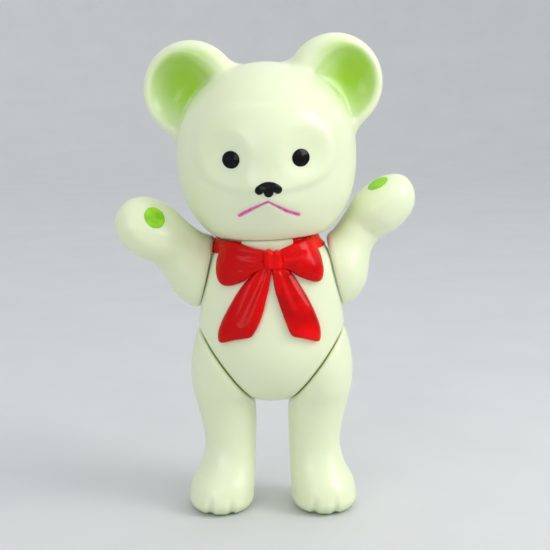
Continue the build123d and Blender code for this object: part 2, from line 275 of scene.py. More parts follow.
def piece(name, points, faces, body, nodes, material, place=None):
    """A Blender object from points in millimetres, placed, smooth and riding on its body."""
    if place is not None:
        points = points @ place[0].T + place[1]
        if np.linalg.det(place[0]) < 0:
            faces = faces[:, ::-1]
    mesh = bpy.data.meshes.new(name)
    mesh.from_pydata((points * MM).tolist(), [], faces.tolist())
    mesh.validate()
    mesh.polygons.foreach_set("use_smooth", [True] * len(mesh.polygons))
    mesh.materials.append(material)
    mesh.update()
    obj = bpy.data.objects.new(name, mesh)
    bpy.context.scene.collection.objects.link(obj)
    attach(obj, body)
    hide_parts(*nodes)
    return obj


# ---------------------------------------------------------------- head
HEAD_CENTRE_UP = 41.3  # from the neck's seat along its axis
HEAD_AXES = (44.4, 42.5, 43.2)  # half-width, half-depth, height above the centre
HEAD_LOWER = 49.0  # the lower half is longer and squarer, and cut flat
HEAD_POWERS = (2.0, 2.35)  # of the upper and the lower half
FACE_FADE = (2.0, 18.0)  # the relief starts so far in front of the middle, and grows over so much
HEAD_BASE = -41.15
NECK_EDGE = 1.2
NECK_AXIS = joint_axis("neck_turn")
HEAD_X = unit(np.cross((0, 1, 0), NECK_AXIS))
HEAD_TURN = np.stack([HEAD_X, (0, 1, 0), NECK_AXIS], axis=1)
HEAD_PLACE = (HEAD_TURN, joint_point("neck_turn") + HEAD_CENTRE_UP * NECK_AXIS)

EAR_CENTRE = (35.5, 4.0, 31.2)
EAR_RADIUS = 24.1
EAR_TUBE = 7.5
EAR_YAW = 10.0
EAR_DISH = (5.0, -9.0, 0.0)
EAR_DISH_AXES = (15.2, 10.4, 17.2)
EAR_DISH_EDGE = 3.5
SKULL_FILLET = (3.5, 9.0)  # between skull and ear, in front and along the outline
SKULL_FILLET_TURN = (-2.0, 8.0)  # along Y, the fillet grows from here over so much

EYE_X = 16.3
EYE_Z = {1: -1.1, -1: -0.4}  # the bear's left eye sits a little lower
EYE_RADIUS = 4.15
EYE_RIM, EYE_DOME = 0.3, 1.2  # how far an eye stands out at its edge and its middle
HOLLOW_CENTRE = (18.6, 1.0)
HOLLOW_RADIUS = 14.5
HOLLOW_DEPTH = 2.7
HOLLOW_STRETCH = 0.95  # under 1 the hollow round an eye is taller than wide
MASK_CENTRE_Z = 4.5
MASK_HALF = (34.0, 21.0)
MASK_HEIGHT = 1.7
MASK_POWER = 2.6  # 2 is an ellipse, more is squarer
MASK_EDGE, MASK_EDGE_WIDTH = 1.08, 0.2  # as a share of the mask's half-size
MUZZLE_Z = -18.0
MUZZLE_SPREAD = (11.0, 8.5)
MUZZLE_HEIGHT = 4.0
MOUTH_HALF = 0.62  # half-width of its line in the middle of the face
MOUTH_WIDENS, MOUTH_WIDENS_OVER = 0.4, 10.0  # the line grows by so much over so far outwards
MOUTH_GROOVE, MOUTH_GROOVE_EDGE = 0.45, 0.9  # depth, and reach past the paint
MOUTH = ((-13.9, -27.1), (-6.6, -23.2), (0.0, -20.2), (6.0, -24.1), (8.6, -25.8), (14.0, -28.2))


def mouth_distance(x, z):
    """Distance to the mouth's line on the face, and its half-width there."""
    line = curve_through(MOUTH[:3], 9)
    line = np.vstack([line, curve_through(MOUTH[2:], 13)[1:]])
    best = np.full(len(x), np.inf)
    for start, end in zip(line[:-1], line[1:]):
        best = np.minimum(best, segment_2d(x, z, start, end)[0])
    return best, MOUTH_HALF + MOUTH_WIDENS * ease(np.abs(x) / MOUTH_WIDENS_OVER)


def face_relief(x, z):
    """How far the face stands out of the head's ball."""
    across = np.abs(x / MASK_HALF[0]) ** MASK_POWER
    upward = np.abs((z - MASK_CENTRE_Z) / MASK_HALF[1]) ** MASK_POWER
    mask = (across + upward) ** (1 / MASK_POWER)
    height = MASK_HEIGHT * ease((MASK_EDGE - mask) / MASK_EDGE_WIDTH)
    hollow = np.hypot(np.abs(x) - HOLLOW_CENTRE[0], (z - HOLLOW_CENTRE[1]) * HOLLOW_STRETCH)
    height = height - HOLLOW_DEPTH * bump(hollow / HOLLOW_RADIUS)
    muzzle = np.exp(-((x / MUZZLE_SPREAD[0]) ** 2) - ((z - MUZZLE_Z) / MUZZLE_SPREAD[1]) ** 2)
    return height + MUZZLE_HEIGHT * muzzle


def skull(p):
    """The head's ball with the relief of the face."""
    x, y, z = p.T
    power = np.where(z > 0, *HEAD_POWERS)
    tall = np.where(z > 0, HEAD_AXES[2], HEAD_LOWER)
    ring = np.hypot(x / HEAD_AXES[0], y / HEAD_AXES[1])
    ball = ((ring**power + np.abs(z / tall) ** power) ** (1 / power) - 1) * HEAD_AXES[1]
    return ball - face_relief(x, z) * ease((-y - FACE_FADE[0]) / FACE_FADE[1])


def ear(p, side):
    """A thick disc with a dish in front that runs on into the skull without a rim."""
    yaw = radians(EAR_YAW) * side
    q = p - np.array((side * EAR_CENTRE[0], EAR_CENTRE[1], EAR_CENTRE[2]))
    across = q[:, 0] * cos(yaw) + q[:, 1] * sin(yaw)
    deep = q[:, 1] * cos(yaw) - q[:, 0] * sin(yaw)
    q = np.stack([across, deep, q[:, 2]], axis=1)
    rim = np.maximum(np.hypot(q[:, 0], q[:, 2]) - (EAR_RADIUS - EAR_TUBE), 0.0)
    disc = np.hypot(rim, q[:, 1]) - EAR_TUBE
    hollow = q - np.array((side * EAR_DISH[0], EAR_DISH[1], EAR_DISH[2]))
    headward = unit((-side, 0, -1))
    hollow = hollow - np.maximum(hollow @ headward, 0.0)[:, None] * headward
    return smooth_max(disc, -ellipsoid(hollow, (0, 0, 0), EAR_DISH_AXES), EAR_DISH_EDGE)


def face(p):
    """The whole outside of the head before the mouth's groove."""
    solid = skull(p)
    narrow, wide = SKULL_FILLET
    start, over = SKULL_FILLET_TURN
    fillet = narrow + (wide - narrow) * ease((p[:, 1] - start) / over)
    for side in (1, -1):
        solid = smooth_min(solid, ear(p, side), fillet)
    return solid


def head(p):
    gap, half = mouth_distance(p[:, 0], p[:, 2])
    groove = MOUTH_GROOVE * bump(gap / (half + MOUTH_GROOVE_EDGE)) * (p[:, 1] < 0)
    return smooth_max(face(p) + groove, HEAD_BASE - p[:, 2], NECK_EDGE)


# ---------------------------------------------------------------- torso
BELLY_CENTRE = (0.0, 2.5, 88.5)
BELLY_AXES = (37.5, 31.4, 33.0)
# (z, x, y, half-width, half-depth)
CHEST_SECTIONS = (
    (88.5, 0.0, 2.5, 37.5, 31.4),
    (97.0, 0.0, 2.8, 38.0, 31.2),
    (106.0, 0.0, 3.4, 39.0, 30.4),
    (114.0, 0.0, 4.0, 40.0, 29.2),
    (122.0, 0.0, 4.4, 39.0, 28.2),
    (129.0, 0.0, 3.8, 35.0, 27.2),
    (135.0, -0.8, 2.8, 28.6, 26.4),
    (140.0, -1.6, 1.6, 25.2, 26.0),
    (146.0, -1.8, 1.0, 24.4, 26.0),
)
SEAT_EDGE = 2.4  # how far a seat's edge is rounded


def hip_out(side_name):
    """Direction straight out of a hip's seat."""
    axis = joint_axis(f"{side_name}_hip")
    return axis * np.sign(axis[0]) * (1 if side_name == "left" else -1)


def trunk(p):
    """The torso before its seats are cut."""
    lower = ellipsoid(p, BELLY_CENTRE, BELLY_AXES)
    upper = stacked(p, CHEST_SECTIONS)
    return np.where(p[:, 2] < BELLY_CENTRE[2], lower, upper)


def torso(p):
    solid = trunk(p)
    for side, name in ((1, "left"), (-1, "right")):
        out = joint_axis(f"{name}_shoulder") * side
        solid = smooth_max(solid, plane(p, joint_point(f"{name}_shoulder"), out), SEAT_EDGE)
        solid = smooth_max(solid, plane(p, joint_point(f"{name}_hip"), hip_out(name)), SEAT_EDGE)
    return smooth_max(solid, plane(p, joint_point("neck_turn"), NECK_AXIS), NECK_EDGE)


# ---------------------------------------------------------------- arms
# Each arm as if it were the left one straight up, from the middle of its root: a path of rows
# (x, y, z, radius), how far the root stands out of the seat, how much deeper than wide the arm
# is, the middle and the half-sizes (across, deep, along) of the paw, and where the palm looks
ARMS = {
    "left": {
        "path": (
            (3.0, 0.0, 4.5, 13.2),
            (9.4, 1.0, 15.8, 11.0),
            (14.8, 2.4, 23.6, 10.8),
            (20.6, 1.4, 30.2, 12.4),
        ),
        "root": 16.4,
        "depth": 1.16,
        "paw": (26.6, 0.0, 36.3),
        "paw_size": (13.8, 13.8, 15.0),
        "palm": unit((-0.45, -0.33, 0.83)),
    },
    "right": {
        "path": (
            (3.6, 0.0, 3.0, 16.8),
            (8.8, 0.3, 10.6, 14.8),
            (15.0, 1.0, 20.0, 13.2),
            (21.2, 0.8, 29.0, 13.6),
        ),
        "root": 17.4,
        "depth": 1.0,
        "paw": (27.2, 0.0, 36.2),
        "paw_size": (14.2, 13.8, 15.0),
        "palm": unit((-0.60, -0.08, 0.795)),
    },
}
ROOT_RADIUS = 17.4
PAW_LEAN = 45.0  # degrees of its long axis from upright
PALM_FLAT = 11.0  # from the paw's middle out to the flattened palm
ARM_FILLET, PALM_EDGE = 6.0, 7.0
PAD_RADIUS = 5.5
LIMB_EDGE = 2.4
SEAT_GAP = 0.3
ARM_TURNS = {"left": -4.0, "right": 46.0}  # degrees forward from upright


def turn_about(axis, degrees):
    """Rotation matrix about an axis through the origin."""
    return np.array(Matrix.Rotation(radians(degrees), 3, Vector(axis)))


LEFT_SHOULDER_OUT = joint_axis("left_shoulder")


def arm(p, side_name):
    """An arm as a left one straight up, in millimetres from the middle of its root."""
    shape = ARMS[side_name]
    squeezed = p / (1.0, shape["depth"], 1.0)
    path = np.array(shape["path"]) / (1.0, shape["depth"], 1.0, 1.0)
    limb = swept(squeezed, curve_through(path, 25))
    out = p @ LEFT_SHOULDER_OUT
    aside = np.linalg.norm(p - out[:, None] * LEFT_SHOULDER_OUT, axis=1)
    root = np.stack([out, aside, np.zeros(len(p))], axis=1)
    root = ellipsoid(root, (0, 0, 0), (shape["root"], ROOT_RADIUS, ROOT_RADIUS))
    q = p - np.array(shape["paw"])
    lean = radians(PAW_LEAN)
    across = q[:, 0] * cos(lean) - q[:, 2] * sin(lean)
    along = q[:, 2] * cos(lean) + q[:, 0] * sin(lean)
    paw = ellipsoid(np.stack([across, q[:, 1], along], axis=1), (0, 0, 0), shape["paw_size"])
    solid = smooth_min(smooth_min(limb, root, ARM_FILLET), paw, ARM_FILLET)
    palm = np.array(shape["paw"]) + shape["palm"] * PALM_FLAT
    solid = smooth_max(solid, plane(p, palm, shape["palm"]), PALM_EDGE)
    return smooth_max(solid, -plane(p, LEFT_SHOULDER_OUT * SEAT_GAP, LEFT_SHOULDER_OUT), LIMB_EDGE)


def arm_place(side_name):
    """Rotation and move that bring the upright left arm to a side's place and turn."""
    turn = turn_about(LEFT_SHOULDER_OUT, ARM_TURNS[side_name])
    if side_name == "right":
        turn = np.diag([-1.0, 1.0, 1.0]) @ turn
    return turn, joint_point(f"{side_name}_shoulder")


# ---------------------------------------------------------------- legs
# (z, x, y, half-width, half-depth) of the left leg
LEG_SECTIONS = (
    (-6.0, 26.4, -1.6, 16.2, 20.0),
    (0.0, 26.4, -1.8, 16.5, 20.4),
    (7.0, 26.3, -2.0, 16.6, 20.6),
    (14.0, 25.4, -1.4, 16.1, 18.8),
    (20.0, 23.6, 0.2, 14.6, 16.2),
    (26.0, 22.4, 1.6, 13.6, 14.4),
    (34.0, 21.6, 2.4, 13.1, 13.5),
    (46.0, 22.3, 2.6, 14.2, 14.8),
    (56.0, 23.4, 2.8, 15.6, 17.3),
    (64.0, 22.0, 3.0, 18.8, 21.2),
    (74.8, 20.0, 3.0, 21.2, 24.4),
    (84.0, 18.0, 3.0, 21.9, 24.6),
    (92.0, 14.0, 3.0, 23.6, 23.6),
    (100.0, 10.0, 3.0, 23.0, 21.0),
)
LEG_POWER = 2.15  # 2 is an ellipse, more is squarer
SOLE_EDGE = 7.0
FOOT_X = 26.3
TOE_GROOVE_X = 5.2  # from the middle of the foot
TOE_GROOVE_FRONT = (-8.0, 6.0)  # it starts so far in front, and deepens over so much
TOE_GROOVE_TOP = 14.0
TOE_GROOVE_HALF = 2.6
TOE_GROOVE_DEPTH = 1.5


def leg(p):
    solid = stacked(p, LEG_SECTIONS, LEG_POWER)
    out = hip_out("left")
    solid = smooth_max(solid, -plane(p, joint_point("left_hip") + out * SEAT_GAP, out), LIMB_EDGE)
    beside = np.abs(np.abs(p[:, 0] - FOOT_X) - TOE_GROOVE_X)
    start, over = TOE_GROOVE_FRONT
    fade = ease((TOE_GROOVE_TOP - p[:, 2]) / TOE_GROOVE_TOP) * ease((start - p[:, 1]) / over)
    solid = solid + TOE_GROOVE_DEPTH * bump(beside / TOE_GROOVE_HALF) * fade
    return smooth_max(solid, -p[:, 2], SOLE_EDGE)


# ---------------------------------------------------------------- paint and relief
PAINT_BACK = 0.5  # how deep a painted piece reaches into its shell
NOSE_X = 0.5
NOSE_CAP = (-14.2, 5.4, 3.4)  # height of its middle, half-width, half-height
NOSE_CAP_BASE = -15.0  # the cap's oval is cut level here, above the lobes
NOSE_MIDDLE_LOBE = (-15.9, 2.3)  # height, radius
NOSE_SIDE_LOBE = (4.4, -14.9, 1.9)  # distance aside, height, radius
NOSE_RISE = (0.5, 0.8)  # at the edge, and more in the middle
MOUTH_RISE = 0.12
PAD_RISE = 0.22


def laid_on(shell, p, outline, height, edge):
    """A piece inside an outline that stands so high out of a shell."""
    skin = shell(p)
    top = smooth_max(outline, skin - height, edge)
    return np.maximum(top, -(skin + PAINT_BACK))


def nose(p):
    x, z = p[:, 0] - NOSE_X, p[:, 2]
    middle, half_width, half_height = NOSE_CAP
    cap = (np.hypot(x / half_width, (z - middle) / half_height) - 1) * half_height
    cap = np.maximum(cap, NOSE_CAP_BASE - z)
    up, radius = NOSE_MIDDLE_LOBE
    lobes = np.hypot(x, z - up) - radius
    aside, up, radius = NOSE_SIDE_LOBE
    for side in (1, -1):
        lobes = smooth_min(lobes, np.hypot(x - side * aside, z - up) - radius, 0.5)
    shape = np.maximum(smooth_min(cap, lobes, 1.2), p[:, 1])
    rise = NOSE_RISE[0] + NOSE_RISE[1] * bump(np.hypot(x / 8.0, (z + 13.5) / 5.5))
    return laid_on(face, p, shape, rise, 0.8)


def mouth(p):
    gap, half = mouth_distance(p[:, 0], p[:, 2])
    return laid_on(head, p, np.maximum(gap - half, p[:, 1]), MOUTH_RISE, 0.25)


def eye(side):
    """(field of an eye, its box) in the head's frame."""

    def field(p):
        r = np.hypot(p[:, 0] - side * EYE_X, p[:, 2] - EYE_Z[side])
        rise = EYE_RIM + (EYE_DOME - EYE_RIM) * (1 - np.clip(r / EYE_RADIUS, 0, 1) ** 2)
        return np.maximum(laid_on(face, p, r - EYE_RADIUS, rise, 0.5), p[:, 1])

    reach = EYE_RADIUS + 1
    low = (side * EYE_X - reach, -50.0, EYE_Z[side] - reach)
    high = (side * EYE_X + reach, -30.0, EYE_Z[side] + reach)
    return field, (low, high)


def palm_pad(p, side_name):
    palm = ARMS[side_name]["palm"]
    q = p - np.array(ARMS[side_name]["paw"])
    up = q @ palm
    r = np.linalg.norm(q - up[:, None] * palm, axis=1)
    shell = partial(arm, side_name=side_name)
    return laid_on(shell, p, np.maximum(r - PAD_RADIUS, 4.0 - up), PAD_RISE, 0.4)


# ---------------------------------------------------------------- bow
# Outlines (x, z) on the chest, as they are seen from the front
KNOT = (
    (-3.4, 136.2), (-1.1, 138.0), (1.3, 137.0), (3.1, 137.4), (5.6, 135.8), (6.3, 132.0),
    (5.4, 128.6), (1.3, 127.9), (-2.4, 128.6), (-4.0, 132.0),
)
LOOPS = {
    "left": (
        (3.6, 136.3), (9.7, 139.4), (15.8, 141.8), (20.1, 142.2), (22.4, 140.3), (24.0, 135.4),
        (25.4, 130.0), (25.9, 125.8), (25.0, 121.9), (22.9, 120.8), (20.1, 121.2), (16.4, 122.6),
        (12.6, 124.4), (9.0, 127.0), (3.6, 129.6),
    ),
    "right": (
        (-1.4, 136.3), (-8.9, 138.4), (-16.2, 140.6), (-22.4, 142.0), (-25.0, 140.4), (-25.6, 135.2),
        (-26.7, 130.5), (-27.0, 125.7), (-26.0, 121.6), (-23.7, 119.5), (-20.6, 119.3), (-16.3, 120.5),
        (-12.3, 122.4), (-8.4, 125.6), (-1.4, 129.6),
    ),
}
TAILS = {
    "left": (
        (0.6, 129.4), (0.9, 124.0), (1.8, 118.0), (3.8, 111.4), (6.7, 103.1), (9.2, 96.9),
        (11.2, 95.2), (15.2, 94.1), (22.0, 91.9), (24.0, 92.9), (23.9, 98.8), (21.3, 106.4),
        (17.7, 113.9), (13.4, 121.0), (9.4, 126.6), (5.0, 129.6),
    ),
    "right": (
        (0.4, 129.4), (-0.1, 124.0), (-0.9, 119.0), (-2.1, 114.0), (-4.1, 106.2), (-7.0, 99.5),
        (-9.8, 95.4), (-13.2, 94.3), (-18.4, 93.1), (-24.6, 91.2), (-26.3, 93.0), (-25.9, 97.3),
        (-23.7, 103.1), (-20.0, 110.1), (-16.3, 116.3), (-12.0, 121.9), (-5.0, 128.6),
    ),
}
# Folds pressed into the bow: (start, end, half-width, depth)
FOLDS = {
    "left_loop": (
        ((5.0, 133.4), (17.5, 135.6), 2.4, 1.2),
        ((5.0, 130.8), (16.5, 128.6), 2.2, 1.1),
        ((5.4, 135.2), (14.0, 138.6), 1.6, 0.7),
    ),
    "right_loop": (
        ((-3.0, 133.6), (-17.5, 135.2), 2.4, 1.1),
        ((-3.0, 130.8), (-15.5, 127.6), 2.2, 1.0),
    ),
    "left_tail": (
        ((5.4, 127.4), (14.6, 103.5), 2.6, 1.0),
        ((9.6, 125.0), (18.6, 110.5), 1.6, 0.6),
    ),
    "right_tail": (
        ((-3.4, 127.4), (-15.6, 100.5), 3.0, 1.2),
        ((-1.3, 125.0), (-4.6, 110.0), 1.4, 0.5),
    ),
}
BOW_HEIGHTS = {"loop": (3.0, 1.3), "tail": (2.9, 0.5)}  # at the edge, and more in the middle
PILLOW_REACH = 5.0
BOW_EDGE = 2.2
KNOT_HEIGHT = 4.9
RIBBON_HEIGHT = 7.0
RIBBON_RELIEF = 1.0
RIBBON_FRONT = -21.0  # the ribbon ends here, behind the bow's loops
UNDER_SEAT = 0.4  # how far the bow stays under the neck's seat
KNOT_LOBES = ((-1.6, 2.6), (3.4, 2.8))  # (x, half-width)
KNOT_LOBE_RISE, KNOT_GATHER = 0.75, 0.25
KNOT_EDGE, BOW_TOP_EDGE, RIBBON_EDGE = 3.0, 0.8, 0.9


def closed_curve(points, per_span=5):
    """A smooth ring through points."""
    rows = np.asarray(points)
    around = curve_through(np.vstack([rows[-2:], rows, rows[:2]]), per_span * (len(rows) + 3) + 1)
    return around[2 * per_span : (len(rows) + 2) * per_span]


def folds(name, x, z):
    """How deep the folds of a piece of the bow are pressed in."""
    depth = np.zeros(len(x))
    for start, end, half, deep in FOLDS[name]:
        gap, along = segment_2d(x, z, start, end)
        depth += deep * bump(gap / half) * (1 - along) ** 0.7
    return depth


def on_chest(p, outline, height, edge):
    """A piece of the bow, laid on the front of the trunk and under the neck's seat."""
    solid = laid_on(trunk, p, outline, height, edge)
    below_seat = plane(p, joint_point("neck_turn") - UNDER_SEAT * NECK_AXIS, NECK_AXIS)
    return smooth_max(np.maximum(solid, p[:, 1]), below_seat, BOW_TOP_EDGE)


def bow_piece(name, outline, height, pillow):
    """(field of a piece of the bow, its box)"""
    ring = closed_curve(outline)

    def field(p):
        x, z = p[:, 0], p[:, 2]
        edge = outline_2d(x, z, ring)
        rise = height + pillow * ease(-edge / PILLOW_REACH) - folds(name, x, z)
        return on_chest(p, edge, rise, BOW_EDGE)

    low = (ring[:, 0].min() - 2, -38.0, ring[:, 1].min() - 2)
    high = (ring[:, 0].max() + 2, -14.0, ring[:, 1].max() + 2)
    return field, (low, high)


KNOT_RING = closed_curve(KNOT)


def knot(p):
    """The gathered knot, with upright lobes."""
    x, z = p[:, 0], p[:, 2]
    lobes = sum(KNOT_LOBE_RISE * bump((x - middle) / half) for middle, half in KNOT_LOBES)
    gather = KNOT_GATHER * np.sin(x * 3.2) * bump((z - 137.5) / 5.0)
    return on_chest(p, outline_2d(x, z, KNOT_RING), KNOT_HEIGHT + lobes + gather, KNOT_EDGE)


def ribbon(p):
    """The band round the neck, gone in front, where the neck shows between the loops."""
    seat = plane(p, joint_point("neck_turn"), NECK_AXIS)
    band = np.abs(seat + RIBBON_HEIGHT / 2 + 0.2) - RIBBON_HEIGHT / 2
    band = np.maximum(band, RIBBON_FRONT - p[:, 1])
    return laid_on(trunk, p, band, RIBBON_RELIEF, RIBBON_EDGE)


# ---------------------------------------------------------------- materials
VINYL_COLOUR = (0.79, 0.86, 0.61, 1)
VINYL_WARM = (0.77, 0.82, 0.50, 1)
SPRAY_GREEN = (0.36, 0.64, 0.02, 1)
# Painted shade: a darker green where the feet stand on the floor
SOLE_SHADE_GREEN = (0.52, 0.66, 0.36, 1)
BOW_RED = (0.86, 0.0005, 0.001, 1)
# Darker red: random tone in the paint, and also painted shade on the bow's -X side
BOW_DARK_AND_SHADE = (0.42, 0.0003, 0.001, 1)
BOW_PAINTED_SHADE_X = (-0.014, 0.006)  # metres along X: painted shade, the bow is darker before this stretch, on its side turned from the light
BOW_PAINTED_SHADE_SHARE = 0.65
PAD_GREEN = (0.32, 0.70, 0.03, 1)
PAD_DARK = (0.20, 0.52, 0.01, 1)
BLACK = (0.002, 0.002, 0.003, 1)
BLACK_WORN = (0.006, 0.006, 0.007, 1)
PINK = (0.90, 0.25, 0.50, 1)
# Painted shade: darker magenta along the bottom of the mouth's groove
MAGENTA_GROOVE_SHADE = (0.52, 0.03, 0.26, 1)


class Paint:
    """A node material round one Principled shader, with the object's own coordinates."""

    def __init__(self, name, roughness, **sockets):
        self.material = bpy.data.materials.new(name)
        self.material.use_nodes = True
        self.tree = self.material.node_tree
        self.shader = self.tree.nodes["Principled BSDF"]
        self.where = self.tree.nodes.new("ShaderNodeTexCoord").outputs["Object"]
        self.shader.inputs["Roughness"].default_value = roughness
        for socket, value in sockets.items():
            self.shader.inputs[socket.replace("_", " ")].default_value = value

    def node(self, kind, inputs, output, **settings):
        made = self.tree.nodes.new(kind)
        for name, value in settings.items():
            setattr(made, name, value)
        for key, value in inputs.items():
            if isinstance(value, bpy.types.NodeSocket):
                self.tree.links.new(value, made.inputs[key])
            else:
                made.inputs[key].default_value = value
        return made.outputs[output]

    def noise(self, size_mm, detail=3.0, roughness=0.5):
        """Noise whose lumps are about so many millimetres across."""
        inputs = {"Vector": self.where, "Scale": 1000.0 / size_mm, "Detail": detail, "Roughness": roughness}
        return self.node("ShaderNodeTexNoise", inputs, "Fac")

    def spread(self, value, low, high, to_low=0.0, to_high=1.0, smooth=False):
        """A value's range low..high moved to another range."""
        inputs = {"Value": value, "From Min": low, "From Max": high, "To Min": to_low, "To Max": to_high}
        kind = "SMOOTHSTEP" if smooth else "LINEAR"
        return self.node("ShaderNodeMapRange", inputs, "Result", interpolation_type=kind)

    def maths(self, operation, a, b):
        return self.node("ShaderNodeMath", {0: a, 1: b}, "Value", operation=operation)

    def blend(self, factor, a, b):
        inputs = {"Factor": factor, "A": a, "B": b}
        made = self.tree.nodes.new("ShaderNodeMix")
        made.data_type = "RGBA"
        ports = {"Factor": made.inputs[0], "A": made.inputs[6], "B": made.inputs[7]}
        for key, value in inputs.items():
            if isinstance(value, bpy.types.NodeSocket):
                self.tree.links.new(value, ports[key])
            else:
                ports[key].default_value = value
        return made.outputs[2]

    def to(self, socket, value):
        self.tree.links.new(value, self.shader.inputs[socket])

    def bumps(self, *layers):
        """Surface unevenness from (height, depth in millimetres) layers."""
        normal = None
        for height, depth_mm in layers:
            inputs = {"Height": height, "Distance": depth_mm * MM, "Strength": 1.0}
            if normal is not None:
                inputs["Normal"] = normal
            normal = self.node("ShaderNodeBump", inputs, "Normal")
        self.to("Normal", normal)


def vinyl(name, tint=None):
    """Milky soft vinyl, with a further colour laid on by tint(paint, colour)."""
    paint = Paint(
        name,
        0.34,
        Subsurface_Weight=0.35,
        Subsurface_Scale=0.004,
        Subsurface_Radius=(1.0, 1.0, 0.55),
        IOR=1.5,
        Coat_Weight=0.25,
        Coat_Roughness=0.12,
    )
    cloud = paint.noise(38.0, 2.0)
    colour = paint.blend(paint.spread(cloud, 0.35, 0.7, 0.0, 0.35), VINYL_COLOUR, VINYL_WARM)
    if tint is not None:
        colour = tint(paint, colour)
    paint.to("Base Color", colour)
    paint.to("Roughness", paint.spread(paint.noise(6.0, 4.0), 0.3, 0.7, 0.29, 0.39))
    paint.bumps((paint.noise(14.0, 1.0), 0.10), (paint.noise(1.1, 2.0), 0.006))
    return paint.material


SPRAY_AND_SHADE_SHIFT = {1: (9.0, 3.5), -1: (-3.0, 3.0)}  # millimetres from the ears' middles: the spray lies outward in each dish, and its lean towards +X on both ears is painted shade on the dish walls turned from the light
# Distances in metres where the green starts to fade and where it has gone, or comes in
SPRAY_REACH = (0.003, 0.025)
SPRAY_RIM = (0.0185, 0.0225)  # the rim of the dish stays clean
SPRAY_BACK = (0.0085, 0.0105)  # along Y
SPRAY_MASK = (0.0425, 0.0460)  # the skull was masked off
SPRAY_RAGGED = 0.0008
SPRAY_TALL = 0.8  # under 1 the cloud is taller than wide
# Painted shade near the floor: it fades out by this height in metres and is strongest at this share
SOLE_SHADE_TOP, SOLE_SHADE_SHARE = 0.007, 0.55


def ear_spray(paint, colour):
    """Green blown into the dish of each ear, leaning towards +X partly as painted shade."""
    turn, origin = HEAD_PLACE

    def distance(middle, scale):
        point = ((turn @ np.array(middle) + origin) * MM).tolist()
        kind = "ShaderNodeVectorMath"
        away = paint.node(kind, {0: paint.where, 1: point}, "Vector", operation="SUBTRACT")
        away = paint.node(kind, {0: away, 1: scale}, "Vector", operation="MULTIPLY")
        return paint.node(kind, {0: away}, "Value", operation="LENGTH")

    ragged = paint.spread(paint.noise(7.0), 0.3, 0.7, -SPRAY_RAGGED, SPRAY_RAGGED)
    depth = paint.node("ShaderNodeSeparateXYZ", {"Vector": paint.where}, "Y")
    front = paint.spread(depth, *SPRAY_BACK, 1.0, 0.0, smooth=True)
    skull_edge = paint.maths("ADD", distance((0.0, 0.0, 0.0), (1.0, 0.0, 1.0)), ragged)
    front = paint.maths("MULTIPLY", front, paint.spread(skull_edge, *SPRAY_MASK, smooth=True))
    for side in (1, -1):
        shift_x, shift_z = SPRAY_AND_SHADE_SHIFT[side]
        ear_middle = np.array((side * EAR_CENTRE[0], EAR_CENTRE[1], EAR_CENTRE[2]))
        # The cloud's middle leans towards +X: real spray, and partly painted shade on the walls turned from
        # the light
        reach = distance(ear_middle + (shift_x, 0.0, shift_z), (1.0, 0.0, SPRAY_TALL))
        cloud = paint.spread(paint.maths("ADD", reach, ragged), *SPRAY_REACH, 1.0, 0.0, smooth=True)
        dish = paint.spread(distance(ear_middle, (1.0, 0.0, 1.0)), *SPRAY_RIM, 1.0, 0.0, smooth=True)
        factor = paint.maths("MULTIPLY", paint.maths("MULTIPLY", cloud, dish), front)
        colour = paint.blend(factor, colour, SPRAY_GREEN)
    return colour


def sole_painted_shade(paint, colour):
    """Painted shade: a darker green round the bottom of each foot, where it stands on the floor."""
    height = paint.node("ShaderNodeSeparateXYZ", {"Vector": paint.where}, "Z")
    share = paint.spread(height, 0.0, SOLE_SHADE_TOP, SOLE_SHADE_SHARE, 0.0, smooth=True)
    return paint.blend(share, colour, SOLE_SHADE_GREEN)


def gloss_paint(name, colour, other, lump_mm, roughness, coat, painted_shade_side=None):
    """Brushed-on gloss paint that varies between two colours.

    The last argument is a stretch along X, in metres, before which more of the second colour is laid on as
    painted shade."""
    paint = Paint(name, roughness, IOR=1.25, Coat_Weight=coat, Coat_Roughness=0.06)
    cloud = paint.noise(lump_mm, 3.0)
    share = paint.spread(cloud, 0.4, 0.75)
    if painted_shade_side is not None:
        across = paint.node("ShaderNodeSeparateXYZ", {"Vector": paint.where}, "X")
        # Painted shade: more of the second colour before the stretch along X, on the side turned from the
        # light
        deep = paint.spread(across, *painted_shade_side, BOW_PAINTED_SHADE_SHARE, 0.0, smooth=True)
        share = paint.maths("MAXIMUM", share, deep)
    paint.to("Base Color", paint.blend(share, colour, other))
    paint.to("Roughness", paint.spread(paint.noise(2.0, 3.0), 0.3, 0.7, roughness - 0.04, roughness + 0.06))
    paint.bumps((paint.noise(2.2, 2.0), 0.03))
    return paint.material


CORE = "core"  # how near a point of the mouth is to the middle of its line


def mouth_paint():
    """Pink laid into the mouth's groove, with darker magenta along its middle as painted shade in the
    groove.
    """
    paint = Paint("mouth_paint", 0.35, IOR=1.5)
    core = paint.node("ShaderNodeAttribute", {}, "Fac", attribute_name=CORE)
    core = paint.maths("ADD", core, paint.spread(paint.noise(1.6), 0.3, 0.7, -0.2, 0.2))
    paint.to("Base Color", paint.blend(paint.spread(core, 0.35, 0.95), PINK, MAGENTA_GROOVE_SHADE))
    paint.bumps((paint.noise(1.2, 2.0), 0.02))
    return paint.material


# ---------------------------------------------------------------- the figure
COARSE = 1.0
body_vinyl = vinyl("vinyl_milky")
head_vinyl = vinyl("vinyl_sprayed_ears", ear_spray)
foot_vinyl = vinyl("vinyl_soles_painted_shade", sole_painted_shade)
# The bow's red is painted darker on its -X side, as shade on the side turned from the light
red = gloss_paint("bow_gloss_red", BOW_RED, BOW_DARK_AND_SHADE, 16.0, 0.16, 0.0, BOW_PAINTED_SHADE_X)
black = gloss_paint("gloss_black", BLACK, BLACK_WORN, 2.5, 0.12, 0.0)
green = gloss_paint("pad_green", PAD_GREEN, PAD_DARK, 5.0, 0.42, 0.0)

